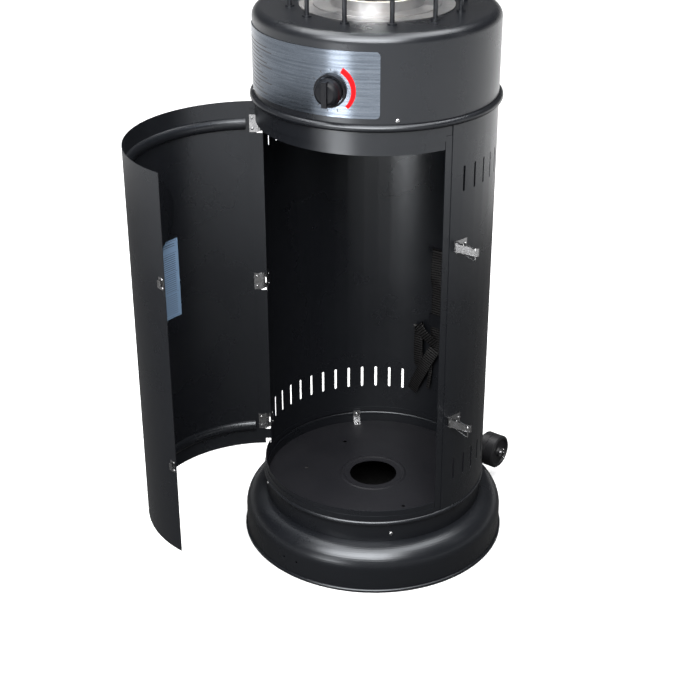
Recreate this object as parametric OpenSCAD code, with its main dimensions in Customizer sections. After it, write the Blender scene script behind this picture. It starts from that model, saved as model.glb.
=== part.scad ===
// Flame patio heater with a round gas-bottle cabinet, a hinged front door and a glass flame tube.
// Millimetres, +Z up, origin on the floor at the axis of the cabinet. The front looks along -Y.
// An angle round the cabinet is counted from the front, positive towards +X.

/* [Cabinet] */
// Outer radius of the cabinet wall
body_r = 215; // [205:1:225]
// Thickness of the cabinet, door and housing sheet
sheet = 1.2; // [1:0.1:1.5]
// Half the angle of the front opening
open_half = 68.3; // [64:0.1:72]
// Height of the bottom edge of the opening
open_low = 154; // [150:1:180]
// Height of the top edge of the opening
open_top = 846; // [800:1:846]
// Height of the recessed lips that the door closes over
lip_low_h = 11; // [8:1:11]
// Height of the recessed lip over the opening
lip_top_h = 15; // [10:1:18]
// Angle that the recessed jamb beside the latches covers
jamb_arc = 3.8; // [3:0.1:5]

/* [Base] */
// How far the bottom rim of the base stands outside the cabinet
rim_out = 42.5; // [36:0.5:50]
// Thickness of the base sheet
dome_t = 2; // [1.5:0.1:3]
// Height of the straight skirt of the base
skirt_h = 48; // [40:1:55]
// Height of the top of the base
dome_top = 86; // [80:1:92]
// Height of the seat inside the base
seat_z = 70; // [60:1:74]
// How far the collar that stands in the base is inside the cabinet's radius
collar_in = 3.5; // [3:0.1:4]
// Height of the middle of the lower bead
low_bead_z = 127; // [125:0.5:130]
// Height of the top of the floor plate
floor_z = 107; // [100:1:112]
// Thickness of the floor plate
floor_t = 1.5; // [1.2:0.1:2.5]
// Height of the floor plate's turned-down edge
floor_edge = 5; // [4:0.5:6]
// Width of the ledge in the collar that the floor plate lies on
ledge_w = 8; // [5:0.5:10]
// Radius of the hole in the middle of the floor plate
floor_hole_r = 46.5; // [35:0.5:55]
// Distance between the floor bolt holes from side to side
floor_bolt_x = 237; // [200:1:250]
// Distance between the floor bolt holes from front to back
floor_bolt_y = 129; // [110:1:150]
// Radius of the floor bolt holes
floor_bolt_r = 4; // [3:0.25:6]

/* [Vents] */
// Number of slots on each side in each row
slot_n = 12; // [6:1:12]
// Angle between neighbouring slots
slot_step = 7.65; // [7:0.05:7.65]
// Angle of the first slot on the hinge side
slot_first_left = 76.5; // [76:0.1:79]
// Angle of the first slot on the latch side
slot_first_right = 79.8; // [78:0.1:81]
// Width of a slot
slot_w = 5; // [3:0.5:7]
// Length of a slot
slot_l = 46; // [30:1:60]
// Height of the middle of the lower row
slot_low_z = 212; // [190:1:230]
// Height of the middle of the upper row
slot_top_z = 787; // [740:1:820]

/* [Door] */
// Angle that the door stands open at rest
door_open = 74.5; // [45:0.5:90]
// Clearance between the closed door and the lips behind it
door_gap = 0.5; // [0.4:0.05:0.8]
// Gap between the door's top and bottom edges and the bands beside them
edge_gap = 2.5; // [2:0.25:4]
// Angle that a hinge leaf covers from the hinge
leaf_arc = 4.6; // [4:0.1:5]
// Angle that the door reaches past the opening on the latch side
door_lap = 3.2; // [2.5:0.1:3.3]
// Distance of the hinge axis outside the cabinet wall
hinge_out = 4.5; // [4:0.1:6]
// Radius of the hinge pins
pin_r = 1.5; // [1.2:0.05:1.8]
// Radius of the hinge knuckles
knuckle_r = 3.2; // [2.8:0.1:3.5]
// Height of a hinge
hinge_h = 33; // [28:1:40]
// Heights of the middles of the three hinges
hinge_zs = [197, 504, 817];
// Depth of the half-round stiffeners inside the door
rib_depth = 8; // [6:0.5:10]
// Height of the stiffeners
rib_h = 22; // [18:1:28]
// Distance of a stiffener's middle from the door's edge
rib_in = 42; // [35:1:50]
// Radius of the round dish in the door
dish_r = 64; // [50:1:64]
// Height of the middle of the dish
dish_z = 690; // [660:1:720]
// How far the floor of the dish is inside the cabinet's radius
dish_in = 25; // [20:1:30]
// Height of the lower edge of the notice plate
plate_low = 464.5; // [440:0.5:500]
// Height of the notice plate
plate_h = 155.5; // [100:0.5:160]
// Angle of the notice plate's edge on the hinge side
plate_left = 23; // [10:1:30]
// Angle of the notice plate's edge on the latch side
plate_right = 2; // [1:1:20]

/* [Latches] */
// Heights of the middles of the two latches
latch_zs = [320, 667];
// Angle of the latches round the cabinet
latch_a = 78.5; // [78:0.5:80]
// Length of a latch base plate
latch_base_l = 32; // [28:1:34]
// Height of a latch base plate
latch_base_h = 20; // [16:1:24]
// Length of a latch lever
lever_l = 44; // [36:1:50]
// Height of a latch lever
lever_h = 15; // [12:1:17]
// Angle of the levers at rest, counted from lying flat
lever_rest = 73; // [40:1:90]
// Radius of the bail wire
bail_wire_r = 1.1; // [0.9:0.1:1.4]
// Length of a bail
bail_l = 34.8; // [30:0.1:36]
// Angle of the bails at rest, counted like the lever's
bail_rest = 100; // [80:1:110]

/* [Top housing] */
// Height of the middle of the upper bead
top_bead_z = 893; // [893:0.5:893]
// Height of the deck over the control housing
deck_z = 1046; // [1040:1:1080]
// Radius of the housing's rounded shoulder
shoulder_r = 16; // [10:1:22]
// Height of the bottom edge of the control panel
panel_low = 909.5; // [907:0.5:912]
// Height of the control panel
panel_h = 110; // [90:1:114]
// Angle of the panel's edge on the hinge side
panel_left = 52; // [45:1:60]
// Angle of the panel's edge on the latch side
panel_right = 37.2; // [30:0.1:40]
// Radius of the panel's corners
panel_corner = 8; // [4:1:14]
// Angle of the control knob
knob_a = 15.6; // [0:0.1:18]
// Height of the control knob
knob_z = 953; // [945:1:970]
// Radius of the control knob
knob_r = 23; // [18:0.5:26]
// How far the control knob pushes in
knob_push = 4; // [2:0.5:4]

/* [Flame section] */
// Outer radius of the glass tube
glass_r = 75; // [60:1:80]
// Thickness of the glass
glass_t = 4; // [3:0.5:5]
// Height of the glass tube
glass_h = 640; // [500:10:800]
// Radius of the circle of guard rods
guard_r = 150; // [140:1:160]
// Number of guard rods
guard_n = 12; // [8:4:16]
// Radius of a guard rod
rod_r = 4; // [3:0.5:5]
// Radius of a guard ring's bar
guard_bar_r = 3; // [2:0.5:4]
// Radius of the cap over the flame tube
cap_r = 225; // [200:5:260]
// Radius of the burner head
burner_r = 55; // [40:1:60]

/* [Wheels] */
// Radius of a wheel
wheel_r = 35; // [30:1:38]
// Width of a wheel
wheel_w = 40; // [30:1:42]
// Distance of a wheel's outer face from the middle
wheel_face = 128; // [120:1:140]
// Height of the axle
axle_z = 65; // [60:1:70]
// How far the axle is behind the bottom rim of the base
axle_out = 23.5; // [23:0.5:32]
// Radius of the axle
axle_r = 4; // [3:0.25:5]

/* [Strap] */
// Width of the strap
strap_w = 25; // [20:1:30]
// Thickness of the strap
strap_t = 1.6; // [1.2:0.1:2.5]
// Height of the strap bracket
strap_z = 515; // [480:1:540]
// Length that the strap hangs down from its bracket
strap_drop = 225; // [200:1:240]
// Depth of the top of the strap's side loop under the bracket
loop_top = 172; // [160:1:180]
// Height of the strap's side loop
loop_h = 90; // [70:1:100]
// Height of the strap's free end
tail_h = 108; // [80:1:120]

/* [Hidden] */
$fn = 96;

// Clearance between pieces that are fixed together
seat = 0.3;
// Radial clearance of a pin, plug or wheel in its bore
run = 0.05;
// Overlap that joins the shapes inside one piece
weld = 0.05;

// Sizes that follow from the ones above
wall_in = body_r - sheet;
tuck_r = wall_in - seat;
lip_r = wall_in + weld;
wall_top = top_bead_z - 6.8;
rim_r = body_r + rim_out;
skirt_r = rim_r - 3.4;
collar_r = body_r - collar_in;
axle_y = rim_r + axle_out;
dish_floor = body_r - dish_in;
low_bead_r = 4.6;
low_bead_c = collar_r + 1.4;
band_low = low_bead_z + low_bead_r + seat;
sill_edge = open_low - lip_low_h;
header_edge = open_top + lip_top_h;
lip_lap = 3;
top_bead_r = 6.3;
top_bead_c = tuck_r + 2.7;
housing_low = top_bead_z + top_bead_r + 0.2;
floor_r = collar_r - sheet - seat;
jamb_end = open_half + jamb_arc;
hinge_edge = 1.1;
door_in = lip_r + door_gap;
door_out = door_in + sheet;
door_low = sill_edge + edge_gap;
door_top = header_edge - edge_gap;
door_first = hinge_edge - open_half;
door_last = open_half + door_lap;
hinge_r = body_r + hinge_out;
hinge_p = [-hinge_r * sin(open_half), -hinge_r * cos(open_half)];

// Left normal of a path's segment i
function seg_n(p, i) = let(d = p[i + 1] - p[i]) [-d[1], d[0]] / norm(d);
// Offset direction at a path's point i
function miter(p, i) = i == 0 ? seg_n(p, 0)
    : i == len(p) - 1 ? seg_n(p, i - 1)
    : let(a = seg_n(p, i - 1), b = seg_n(p, i)) (a + b) / (1 + a * b);
// Outline of a sheet of thickness t whose outer surface follows the path p upwards
function bent(p, t) = concat(p, [for (i = [len(p) - 1 : -1 : 0]) p[i] + t * miter(p, i)]);
// Points of an arc about c from angle a0 to a1
function arc(c, r, a0, a1, n = 10) = [for (i = [0 : n]) let(a = a0 + (a1 - a0) * i / n)
    [c[0] + r * cos(a), c[1] + r * sin(a)]];

// Spins a profile round the axis from angle a0 to a1
module spin(points, a0 = 0, a1 = 360)
    rotate([0, 0, a0 - 90]) rotate_extrude(angle = a1 - a0) polygon(points);

// A curved plate on the cabinet, between two angles and two heights
module arc_plate(r_out, t, a0, a1, z0, z1)
    rotate([0, 0, a0 - 90]) rotate_extrude(angle = a1 - a0)
        translate([r_out - t, z0]) square([t, z1 - z0]);

// A ring with a rectangular section
module ring(r_out, r_in, z0, z1)
    rotate_extrude() translate([r_in, z0]) square([r_out - r_in, z1 - z0]);

// Places a child at an angle and height, with its +Z pointing outwards and its +Y pointing up
module outward(a, z, r = 0)
    rotate([0, 0, a]) translate([0, -r, z]) rotate([90, 0, 0]) children();

// A pan or round head screw or rivet whose underside is at z = 0
module round_head(r, h) {
    rotate_extrude() polygon(concat([[0, 0]], [for (i = [0 : 8]) let(a = 90 * i / 8)
        [r * cos(a), h * sin(a)]]));
}

// The same with its shank below
module headed(r, h, shank_r, shank_l) {
    round_head(r, h);
    translate([0, 0, -shank_l]) cylinder(r = shank_r, h = shank_l + weld);
}

// Turns a child about the hinge axis by the rest angle of the door
module door_swing()
    translate([hinge_p[0], hinge_p[1], 0]) rotate([0, 0, -door_open])
        translate([-hinge_p[0], -hinge_p[1], 0]) children();

// Base ring of spun sheet with a rolled rim, a rounded shoulder and an inner seat
module base_dome() {
    lip_in = collar_r + seat + 0.2;
    shoulder = [for (i = [0 : 16]) let(a = 90 * i / 16)
        [lip_in + dome_t + (skirt_r - lip_in - dome_t) * cos(a),
            skirt_h + (dome_top - skirt_h) * sin(a)]];
    side = concat([[skirt_r, 6.3]], shoulder,
        [[lip_in, dome_top], [lip_in, seat_z], [lip_in - 9, seat_z]]);
    rim = concat([[skirt_r - 1.8, 0]], arc([skirt_r, 2.9], 3.4, -asin(2.9 / 3.4), 80));
    color("#2e3134") difference() {
        spin(concat(rim, bent(side, dome_t)));
        for (a = [-6.1, 0.9])
            outward(a, 34) cylinder(r = 2.5, h = rim_r + 10);
        for (x = [-30, 30])
            translate([x, skirt_r - 30, axle_z - 24]) rotate([-90, 0, 0])
                cylinder(r = 3.3, h = 40);
    }
}

// Floor of the cabinet with a turned-down edge, a raised ring and bolt holes
module floor_plate() {
    raised = floor_hole_r + 10;
    path = [[floor_r, floor_z - floor_edge], [floor_r, floor_z], [raised + 9, floor_z],
        [raised + 6, floor_z + 1.4], [raised + 3, floor_z + 1.4], [raised, floor_z],
        [floor_hole_r, floor_z]];
    color("#26282b") difference() {
        spin(bent(path, floor_t));
        for (x = [-1, 1], y = [-1, 1])
            translate([x * floor_bolt_x / 2, y * floor_bolt_y / 2, floor_z - 5])
                cylinder(r = floor_bolt_r, h = 10);
    }
}

// Collar that stands in the base, with the lower bead rolled in it and the ledge for the floor
module base_collar() {
    ledge_z = floor_z - floor_edge - seat;
    a0 = -acos((collar_r - low_bead_c) / low_bead_r);
    a1 = acos((tuck_r - low_bead_c) / low_bead_r);
    path = concat([[collar_r, seat_z + seat]],
        arc([low_bead_c, low_bead_z], low_bead_r, a0, a1, 12),
        [[tuck_r, sill_edge - lip_lap - seat]]);
    color("#2e3134") {
        difference() {
            spin(bent(path, sheet));
            screw_holes(screw_low);
        }
        ring(collar_r - sheet + weld, collar_r - sheet - ledge_w, ledge_z - sheet, ledge_z);
    }
}

// One row of upright vent slots from the first angle
module slot_row(first, step, z)
    for (i = [0 : slot_n - 1])
        outward(first + step * i, z, body_r - 8) {
            translate([-slot_w / 2, -(slot_l - slot_w) / 2, 0])
                cube([slot_w, slot_l - slot_w, 16]);
            for (s = [-1, 1])
                translate([0, s * (slot_l - slot_w) / 2, 0]) cylinder(r = slot_w / 2, h = 16, $fn = 24);
        }

// Wall of the cabinet round the back, with the vents and the recessed jamb beside the latches
module cabinet_shell() {
    color("#2e3134") difference() {
        union() {
            arc_plate(body_r, sheet, jamb_end, 360 - open_half - hinge_edge, band_low, wall_top);
            arc_plate(lip_r, sheet, open_half + 0.1, jamb_end + 1.4,
                sill_edge - lip_lap, wall_top - 17);
        }
        for (z = [slot_low_z, slot_top_z]) {
            slot_row(slot_first_right, slot_step, z);
            slot_row(-slot_first_left, -slot_step, z);
        }
    }
}

// Band over the opening with the lip that the door closes over
module front_header()
    color("#34373a") {
        arc_plate(body_r, sheet, -open_half - 1, open_half, header_edge, wall_top);
        arc_plate(lip_r, sheet, -open_half + 1.6, open_half - 0.2, open_top, header_edge + lip_lap);
    }

// Band under the opening with the lip that the door closes over
module front_sill()
    color("#2e3134") {
        arc_plate(body_r, sheet, -open_half - 1, open_half, band_low, sill_edge);
        arc_plate(lip_r, sheet, -open_half + 1.6, open_half - 0.2, sill_edge - lip_lap, open_low);
    }

// Beaded ring that joins the cabinet to the control housing
module top_ring() {
    a0 = acos((tuck_r - top_bead_c) / top_bead_r);
    path = concat([[tuck_r, wall_top - 16.5]],
        arc([top_bead_c, top_bead_z], top_bead_r, -a0, a0, 14), [[tuck_r, top_bead_z + 20]]);
    color("#3a3d41") spin(bent(path, sheet));
}

// Round-head screws of the collar and of the control housing
screw_r = 1.8;
screw_low = floor_z - floor_edge;
screw_high = panel_low - 4.2;
module casing_screws()
    color("silver") for (a = [45 : 90 : 315]) {
        outward(a, screw_low, collar_r + 0.1) headed(4, 2.2, screw_r, 0.8);
        outward(a, screw_high, body_r + 0.1) headed(4, 2.2, screw_r, 0.8);
    }

// The four holes of those screws at one height
module screw_holes(z)
    for (a = [45 : 90 : 315])
        outward(a, z, body_r - 20) cylinder(r = screw_r + 0.1, h = 40, $fn = 32);

// Bent clip with a screw that holds the floor plate to the wall at the back
module floor_clip() {
    clip_w = 14;
    clip_h = 26;
    clip_a = 134.5;
    face = sqrt(pow(collar_r - sheet - seat, 2) - clip_w * clip_w / 4);
    color("silver") outward(-clip_a, floor_z + 0.2, face - 1.5) {
        translate([-clip_w / 2, 0, 0]) cube([clip_w, clip_h, 1.5]);
        translate([-clip_w / 2, 0, -16]) cube([clip_w, 1.5, 16 + weld]);
        translate([0, clip_h - 8, 0]) mirror([0, 0, 1]) round_head(4, 2.4);
        translate([0, 1.5 - weld, -9]) rotate([-90, 0, 0]) round_head(4, 2.4);
    }
}

// Height of the bottom of knuckle i of the three in one hinge
function knuckle_z(z, i) = z - hinge_h / 2 + hinge_h * i / 3;

// A hinge leaf: knuckles, the necks through the gap and the plate on the inner face
module hinge_leaf(z, knuckles, plate_r, side) {
    third = hinge_h / 3;
    difference() {
        union() {
            for (i = knuckles)
                translate([hinge_p[0], hinge_p[1], knuckle_z(z, i) + 0.2]) {
                    cylinder(r = knuckle_r, h = third - 0.4);
                    rotate([0, 0, -open_half]) translate([side > 0 ? 0.5 : -1.7, 2, 0.3])
                        cube([1.2, hinge_r - plate_r - 1.4, third - 1]);
                }
        }
        translate([hinge_p[0], hinge_p[1], z - hinge_h]) cylinder(r = pin_r + run, h = 2 * hinge_h);
    }
    arc_plate(plate_r, 1.2, -open_half + (side > 0 ? 0.25 : -leaf_arc),
        -open_half + (side > 0 ? leaf_arc : -0.25), z - hinge_h / 2, z + hinge_h / 2);
}

// Hinge leaves on the cabinet wall
module body_hinge_leaves()
    color("silver") for (z = hinge_zs)
        hinge_leaf(z, [0, 2], wall_in - 0.1, -1);

// Hinge pins with small heads
module hinge_pins()
    color("silver") for (z = hinge_zs)
        translate([hinge_p[0], hinge_p[1], z - hinge_h / 2 - 1]) {
            cylinder(r = pin_r, h = hinge_h + 2);
            translate([0, 0, hinge_h + 1.2]) round_head(knuckle_r - 0.5, 1.5);
        }

// Rivets of the latch bases and of the cabinet's hinge leaves
module shell_rivets()
    color("silver") {
        for (z = latch_zs, s = [-1, 1])
            latch_place(z) translate([2 + 11 * s, latch_plate_t + 0.1, 0]) rotate([-90, 0, 0])
                round_head(2.6, 1.3);
        for (z = hinge_zs, s = [-1, 1])
            outward(-open_half - 3.2, z + s * 10, wall_in - 1.4) mirror([0, 0, 1]) round_head(2.6, 1.3);
    }

// Latch frame: +X along the wall away from the door, +Y outwards, +Z up, on the wall
latch_plate_t = 1.5;
pivot_x = -12.5;
pivot_y = 5.5;
pivot_r = 1.3;
bail_arm = 12;
// Clear height between the ears of a latch base
function ear_gap() = lever_h + 0.8;
module latch_place(z)
    rotate([0, 0, latch_a]) translate([0, -body_r - 0.1, z]) mirror([0, 1, 0]) children();

// A latch base: a plate with two ears and the lever's pivot pin
module latch_base(z)
    latch_place(z) {
        translate([-latch_base_l / 2 + 2, 0, -latch_base_h / 2])
            cube([latch_base_l - 2, latch_plate_t, latch_base_h]);
        for (s = [-1, 1])
            translate([pivot_x, 0, s * (ear_gap() / 2 + 0.6) - 0.6]) {
                translate([-3.5, 0, 0]) cube([7, pivot_y, 1.2]);
                translate([0, pivot_y, 0]) cylinder(r = 3.5, h = 1.2, $fn = 32);
            }
        translate([pivot_x, pivot_y, -ear_gap() / 2 - 1.5]) cylinder(r = pivot_r, h = ear_gap() + 3);
    }

// The two latch bases on the cabinet wall
module latch_bases()
    color("silver") for (z = latch_zs) latch_base(z);

// Turns a child about a latch pivot by an angle from lying flat
module about_pivot(angle)
    translate([pivot_x, pivot_y, 0]) rotate([0, 0, angle]) children();

// A latch lever: a folded channel with a rounded finger tip and the cross hole of the bail
module latch_lever(z)
    latch_place(z) about_pivot(lever_rest) difference() {
        union() {
            translate([0, 2.2, -lever_h / 2]) cube([lever_l - 4, 1.2, lever_h]);
            for (s = [-1, 1])
                translate([-2.6, -2.6, s * (lever_h / 2 - 0.6) - 0.6])
                    cube([bail_arm + 7.2, 6, 1.2]);
            translate([lever_l - 6, -0.6, -lever_h / 2]) difference() {
                cylinder(r = 4, h = lever_h, $fn = 48);
                translate([0, 0, -1]) cylinder(r = 2.8, h = lever_h + 2, $fn = 48);
                translate([-8, -8, -1]) cube([8, 16, lever_h + 2]);
                translate([-8, -8, -1]) cube([16, 7, lever_h + 2]);
            }
        }
        translate([0, 0, -lever_h]) cylinder(r = pivot_r + run, h = 2 * lever_h);
        translate([bail_arm, 0, -lever_h]) cylinder(r = bail_wire_r + run, h = 2 * lever_h);
    }

module upper_latch_lever() color("silver") latch_lever(latch_zs[1]);
module lower_latch_lever() color("silver") latch_lever(latch_zs[0]);

// A bail: a wire loop whose two inturned ends pivot in the lever
module latch_bail(z) {
    half = ear_gap() / 2 + 3;
    bend = 3;
    end = 4.7;
    hole_x = bail_arm * cos(lever_rest);
    hole_y = bail_arm * sin(lever_rest);
    latch_place(z) about_pivot(0) translate([hole_x, hole_y, 0]) rotate([0, 0, bail_rest]) {
        for (s = [-1, 1]) {
            translate([0, 0, s > 0 ? half - end : -half]) cylinder(r = bail_wire_r, h = end);
            translate([0, 0, s * half]) sphere(r = bail_wire_r, $fn = 24);
            translate([0, 0, s * half]) rotate([0, 90, 0]) cylinder(r = bail_wire_r, h = bail_l - bend);
            translate([bail_l - bend, 0, s * (half - bend)]) rotate([90, 0, 0])
                rotate([0, 0, s > 0 ? 0 : -90]) rotate_extrude(angle = 90)
                    translate([bend, 0]) circle(r = bail_wire_r, $fn = 24);
        }
        translate([bail_l, 0, bend - half]) cylinder(r = bail_wire_r, h = 2 * (half - bend));
    }
}

module upper_latch_bail() color("silver") latch_bail(latch_zs[1]);
module lower_latch_bail() color("silver") latch_bail(latch_zs[0]);

// Strap frame: +X away from the latches, +Y up, +Z inwards from the back wall
strap_half = strap_w / 2 + 14;
strap_face = sqrt(pow(tuck_r, 2) - strap_half * strap_half);
module strap_place()
    outward(178.5, strap_z, strap_face) mirror([0, 0, 1]) children();

// Bracket on the back wall with a bar that the strap goes round
bar_z = 3.1;
module strap_bracket()
    color("#2e3134") strap_place() {
        for (s = [-1, 1]) {
            translate([s > 0 ? strap_half - 12 : -strap_half, -7, 0]) cube([12, 14, 1.5]);
            translate([s > 0 ? strap_w / 2 + 2 : -strap_w / 2 - 7, -3, 0]) cube([5, 6, bar_z + 2]);
            translate([s * (strap_half - 4.5), 0, 1.5 - weld]) round_head(2.6, 1.3);
        }
        translate([-strap_w / 2 - 3, -3, bar_z]) cube([strap_w + 6, 6, 2]);
    }

// A flat band between two points of the strap frame, at two distances from the wall
module band(p0, p1, z0, z1, bulge, w) {
    d = p1 - p0;
    side = [for (i = [0 : 8]) [norm(d) * i / 8, z0 + (z1 - z0) * i / 8 + bulge * sin(22.5 * i)]];
    translate([p0[0], p0[1], 0]) rotate([0, 0, atan2(d[1], d[0])]) translate([0, w / 2, 0])
        rotate([90, 0, 0]) linear_extrude(w) polygon(bent(side, strap_t));
}

// Webbing that holds the gas bottle, hanging loose in folds with two free ends
module retaining_strap() {
    back_z = bar_z - 0.3 - strap_t;
    front_z = bar_z + 2.3;
    top = 3.4;
    color("#1a1a1c") strap_place() {
        band([0, top + strap_t], [0, -strap_drop], back_z, 5, 0, strap_w);
        translate([-strap_w / 2, top, back_z]) cube([strap_w, strap_t, front_z + strap_t - back_z]);
        band([0, top + strap_t], [0, -70], front_z, 3.2, 0, strap_w);
        band([37.5, -loop_top], [36.5, -loop_top - loop_h], 11, 9, 3, strap_w - 6);
        band([37.5, 6 - loop_top], [-2, 22 - strap_drop], 11, 5.2, 9, strap_w - 2);
        band([1, 11 - strap_drop], [53, 11 - strap_drop - tail_h], 5.4, 9.5, 5, strap_w);
        band([6, 13 - strap_drop], [15, 25 - strap_drop - tail_h], 5, 6, -2, 8);
    }
}

// Slider on the hanging strap
module strap_buckle() {
    w = strap_w + 8;
    color("#161618") strap_place() translate([0, -150, 0]) difference() {
        translate([-w / 2, -14, 2.2]) cube([w, 28, 5.4]);
        translate([-strap_w / 2 - 0.5, -15, 3.2]) cube([strap_w + 1, 30, strap_t + 1.8]);
    }
}

// Control housing with a rounded shoulder and a flat deck
module control_housing() {
    path = concat([[body_r, housing_low]],
        arc([body_r - shoulder_r, deck_z - shoulder_r], shoulder_r, 0, 90, 12), [[119, deck_z]]);
    color("#34373a") difference() {
        spin(bent(path, sheet));
        outward(knob_a, knob_z) cylinder(r = 20, h = body_r + 10);
        for (i = [-5 : 5])
            outward(180 + 6 * i, knob_z + 20, body_r - 8)
                translate([-2, -20, 0]) cube([4, 40, 16]);
        screw_holes(screw_high);
    }
}

// Curved control panel with rounded corners
panel_r = body_r + 0.1 + sheet;
module control_panel() {
    c = panel_corner;
    color("silver") difference() {
        arc_plate(panel_r, sheet, -panel_left, panel_right, panel_low, panel_low + panel_h);
        outward(knob_a, knob_z) cylinder(r = 9, h = panel_r + 10);
        for (side = [-1, 1], up = [-1, 1])
            outward(side > 0 ? panel_right : -panel_left, up > 0 ? panel_low + panel_h : panel_low,
                    panel_r - 8)
                difference() {
                    translate([side > 0 ? -c : -1, up > 0 ? -c : -1, 0]) cube([c + 1, c + 1, 12]);
                    translate([-side * (c - 0.1), -up * (c - 0.1), -1]) cylinder(r = c, h = 14);
                }
    }
}

// Dark ring round the control knob
module knob_bezel()
    color("#151515") difference() {
        outward(knob_a, knob_z, body_r - 6) cylinder(r = knob_r + 4.2, h = 14);
        cylinder(r = panel_r + 0.1, h = 2000, $fn = 360);
        outward(knob_a, knob_z) cylinder(r = knob_r + 1.5, h = 300);
    }

// Control knob with a grip bar and a blind bore for the spindle
knob_base = panel_r + 2.2 + knob_push + 0.5;
module control_knob() {
    side = [[0, 0], [knob_r, 0], [knob_r, 5], [knob_r - 1.2, 8], [knob_r - 2, 13],
        [knob_r - 4, 17], [knob_r - 8, 19.5], [0, 20.5]];
    color("#1c1c1e") outward(knob_a, knob_z, knob_base) difference() {
        union() {
            rotate_extrude() polygon(side);
            translate([-4.5, -knob_r + 2, 10]) cube([9, 2 * knob_r - 4, 14]);
        }
        translate([0, 0, -1]) cylinder(r = spindle_r + 0.02, h = 15);
    }
}

// Gas valve with its rotor and push spindle behind the knob
spindle_r = 3;
plug_r = 8;
valve_front = body_r - 19;
valve_back = valve_front - 46;
module gas_valve()
    color("#a58a4a") difference() {
        union() {
            outward(knob_a, knob_z, valve_back) cylinder(r = 14, h = valve_front - valve_back);
            outward(knob_a, knob_z, valve_back + 20) rotate([90, 0, 0]) cylinder(r = 9, h = 22);
        }
        outward(knob_a, knob_z, valve_back + 8) cylinder(r = plug_r + run, h = 60);
    }

module valve_plug()
    color("#b8a060") difference() {
        outward(knob_a, knob_z, valve_back + 8.5)
            cylinder(r = plug_r, h = valve_front - valve_back - 9);
        outward(knob_a, knob_z, valve_back + 14) cylinder(r = spindle_r + run, h = 60);
    }

module valve_spindle()
    color("#c0c0c0") outward(knob_a, knob_z, valve_back + 15 + knob_push)
        cylinder(r = spindle_r, h = knob_base + 13 - valve_back - 15 - knob_push);

// Bracket that carries the valve on the housing wall
module valve_bracket()
    color("#9a9a9a") difference() {
        union() {
            outward(knob_a, knob_z - 26, valve_front - 12) translate([-30, 0, 0]) cube([60, 52, 2]);
            for (s = [-1, 1])
                outward(knob_a, knob_z - 26, valve_front - 12)
                    translate([s * 29 - 1, 0, 0]) cube([2, 52, 40]);
        }
        outward(knob_a, knob_z) cylinder(r = 14.2, h = 300);
        difference() {
            translate([0, 0, knob_z - 60]) cylinder(r = 400, h = 120);
            translate([0, 0, knob_z - 61]) cylinder(r = tuck_r - sheet - 0.2, h = 122);
        }
    }

// Gas inlet: a union nut and a hose nipple under the valve
module gas_inlet() {
    d = valve_back + 20;
    color("#a58a4a") outward(knob_a, knob_z - 22.3, d) rotate([90, 0, 0]) {
        cylinder(r = 11, h = 12, $fn = 6);
        cylinder(r = 4.5, h = 52);
        for (i = [0 : 3])
            translate([0, 0, 34 + 4 * i]) cylinder(r1 = 5.6, r2 = 4.4, h = 4, $fn = 48);
    }
}

// Tilt switch on the inside of the housing
module tilt_switch()
    color("#202022") outward(-40, knob_z - 10, sqrt(pow(tuck_r, 2) - 18 * 18) - 23.75) {
        translate([-14, 0, 0]) cube([28, 36, 22]);
        translate([-18, 6, 22 - weld]) cube([36, 24, 1.8]);
    }

// Pipe from the valve to the burner with the upright mixing tube
module burner_pipe()
    color("#b0b0b0") {
        outward(knob_a, knob_z, -4) cylinder(r = 4, h = valve_back + 3.8);
        translate([0, 0, knob_z]) cylinder(r = 8, h = tray_z - knob_z + 14.8);
    }

// Tray that hangs in the deck round the burner
tray_z = 1000;
tray_r = 96;
module burner_tray() {
    path = [[tray_r + 38, deck_z + seat + sheet], [tray_r, deck_z + seat + sheet], [tray_r, tray_z],
        [8.3, tray_z]];
    color("#5a5d60") difference() {
        spin(bent(path, sheet));
        for (a = [45 : 90 : 315])
            rotate([0, 0, a]) translate([0, -tray_r + 22, tray_z - 4]) cylinder(r = 6, h = 8);
    }
}

// Round burner head with two rings of gas ports
module burner_head()
    color("#8a8c8e") translate([0, 0, tray_z + 15]) difference() {
        rotate_extrude() polygon([[0, 0], [12, 0], [burner_r, 10], [burner_r, 22],
            [burner_r - 4, 26], [0, 26]]);
        for (n = [24], r = [burner_r - 9, burner_r - 18], i = [0 : n - 1])
            rotate([0, 0, 360 * i / n]) translate([r, 0, 18]) cylinder(r = 1.6, h = 10, $fn = 16);
    }

// Bracket beside the burner that holds the pilot parts
pilot_y = -(burner_r + 12);
module pilot_bracket()
    color("#9a9c9e") difference() {
        union() {
            translate([-22, pilot_y - 8, tray_z + 0.2]) cube([44, 16, 1.5]);
            translate([-22, pilot_y - 8, tray_z + 0.2]) cube([44, 1.5, 26]);
            translate([-22, pilot_y - 8, tray_z + 24.7]) cube([44, 16, 1.5]);
        }
        for (x = [-12, 12])
            translate([x, pilot_y + 1, tray_z + 20]) cylinder(r = 3.2, h = 10);
    }

module spark_electrode()
    color("#e8e4da") translate([-12, pilot_y + 1, tray_z + 2]) {
        cylinder(r = 3, h = 34);
        translate([0, 0, 34 - weld]) cylinder(r = 1, h = 10);
    }

module thermocouple()
    color("#b08a5a") translate([12, pilot_y + 1, tray_z + 2]) {
        cylinder(r = 2.4, h = 30);
        translate([0, 0, 24]) cylinder(r = 3, h = 4);
        translate([0, 0, 30 - weld]) cylinder(r = 1.6, h = 12);
    }

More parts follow.
